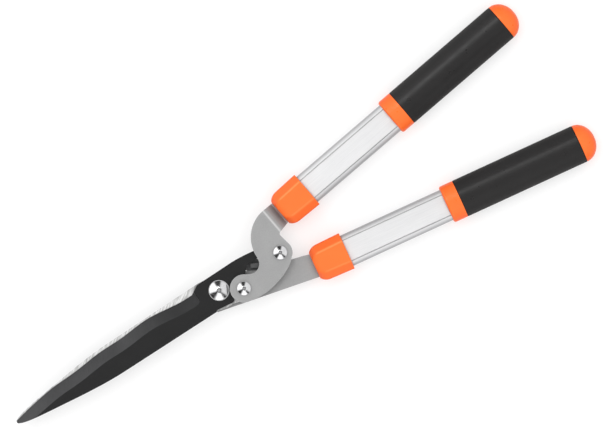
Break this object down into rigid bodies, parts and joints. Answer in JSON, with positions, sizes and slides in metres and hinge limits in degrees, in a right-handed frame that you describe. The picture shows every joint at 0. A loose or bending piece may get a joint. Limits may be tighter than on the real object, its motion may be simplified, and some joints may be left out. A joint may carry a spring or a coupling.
{
  "type": "hedge shears",
  "caption": "Two-handed hedge shears with wavy-edged blades; a roller on the upper arm drives the front blade's slotted tail, so the handles gain leverage on the cut",
  "frame": {"origin": "on the main pivot's axis, at the outer face of its nut, which lies in the plane the closed tool rests on", "axes": "+X along the closed blades from the tips to the handles, +Y across the tool from the lower handle to the upper one, +Z out of the front face"},
  "size_m": [0.6402, 0.1832, 0.0301],
  "materials": {
    "blade_coating": "black non-stick coating, satin, with a ground bevel",
    "ground_steel": "fine cross grinding on the inner face",
    "arm_steel": "satin grey plated sheet",
    "bolt_chrome": "bright plated",
    "rivet_steel": "plain zinc plated",
    "bumper_rubber": "matt moulded rubber",
    "orange_plastic": "moulded, faint sheen",
    "packing_plastic": "moulded, unpolished",
    "grip_rubber": "soft moulded, fine matt texture",
    "tube_aluminium": "anodised extrusion, satin"
  },
  "bodies": {
    "lower_side": {"rear_blade": "ground_steel", "lower_arm": "arm_steel", "stop_bumper": "bumper_rubber", "pivot_bolt": "bolt_chrome", "pivot_washer": "bolt_chrome", "pivot_nut": "bolt_chrome", "arm_pivot_bolt": "bolt_chrome", "arm_pivot_spacer": "bolt_chrome", "arm_pivot_washer": "bolt_chrome", "arm_pivot_nut": "bolt_chrome", "lower_ferrule": "orange_plastic", "lower_tube": "tube_aluminium", "lower_tang_packing": "packing_plastic", "lower_tang_rivets": "rivet_steel", "lower_grip_core": "orange_plastic", "lower_grip_cover": "grip_rubber", "lower_end_cap": "orange_plastic"},
    "upper_side": {"upper_arm": "arm_steel", "link_bolt": "bolt_chrome", "link_roller": "bolt_chrome", "link_washer": "bolt_chrome", "link_nut": "bolt_chrome", "upper_ferrule": "orange_plastic", "upper_tube": "tube_aluminium", "upper_tang_packing": "packing_plastic", "upper_tang_rivets": "rivet_steel", "upper_grip_core": "orange_plastic", "upper_grip_cover": "grip_rubber", "upper_end_cap": "orange_plastic"},
    "front_blade_side": {"front_blade": "blade_coating"}
  },
  "joints": [
    {"name": "upper_handle_hinge", "type": "hinge", "parent": "lower_side", "child": "upper_side", "pos_m": [0.022, -0.012, 0], "axis": [0, 0, 1], "range_deg": [0, 48]},
    {"name": "front_blade_hinge", "type": "hinge", "parent": "lower_side", "child": "front_blade_side", "pos_m": [0, 0, 0], "axis": [0, 0, 1], "range_deg": [0, 35.05]}
  ],
  "couplings": [
    {"joint": "front_blade_hinge", "follows": "upper_handle_hinge", "ratio": 0.73}
  ]
}
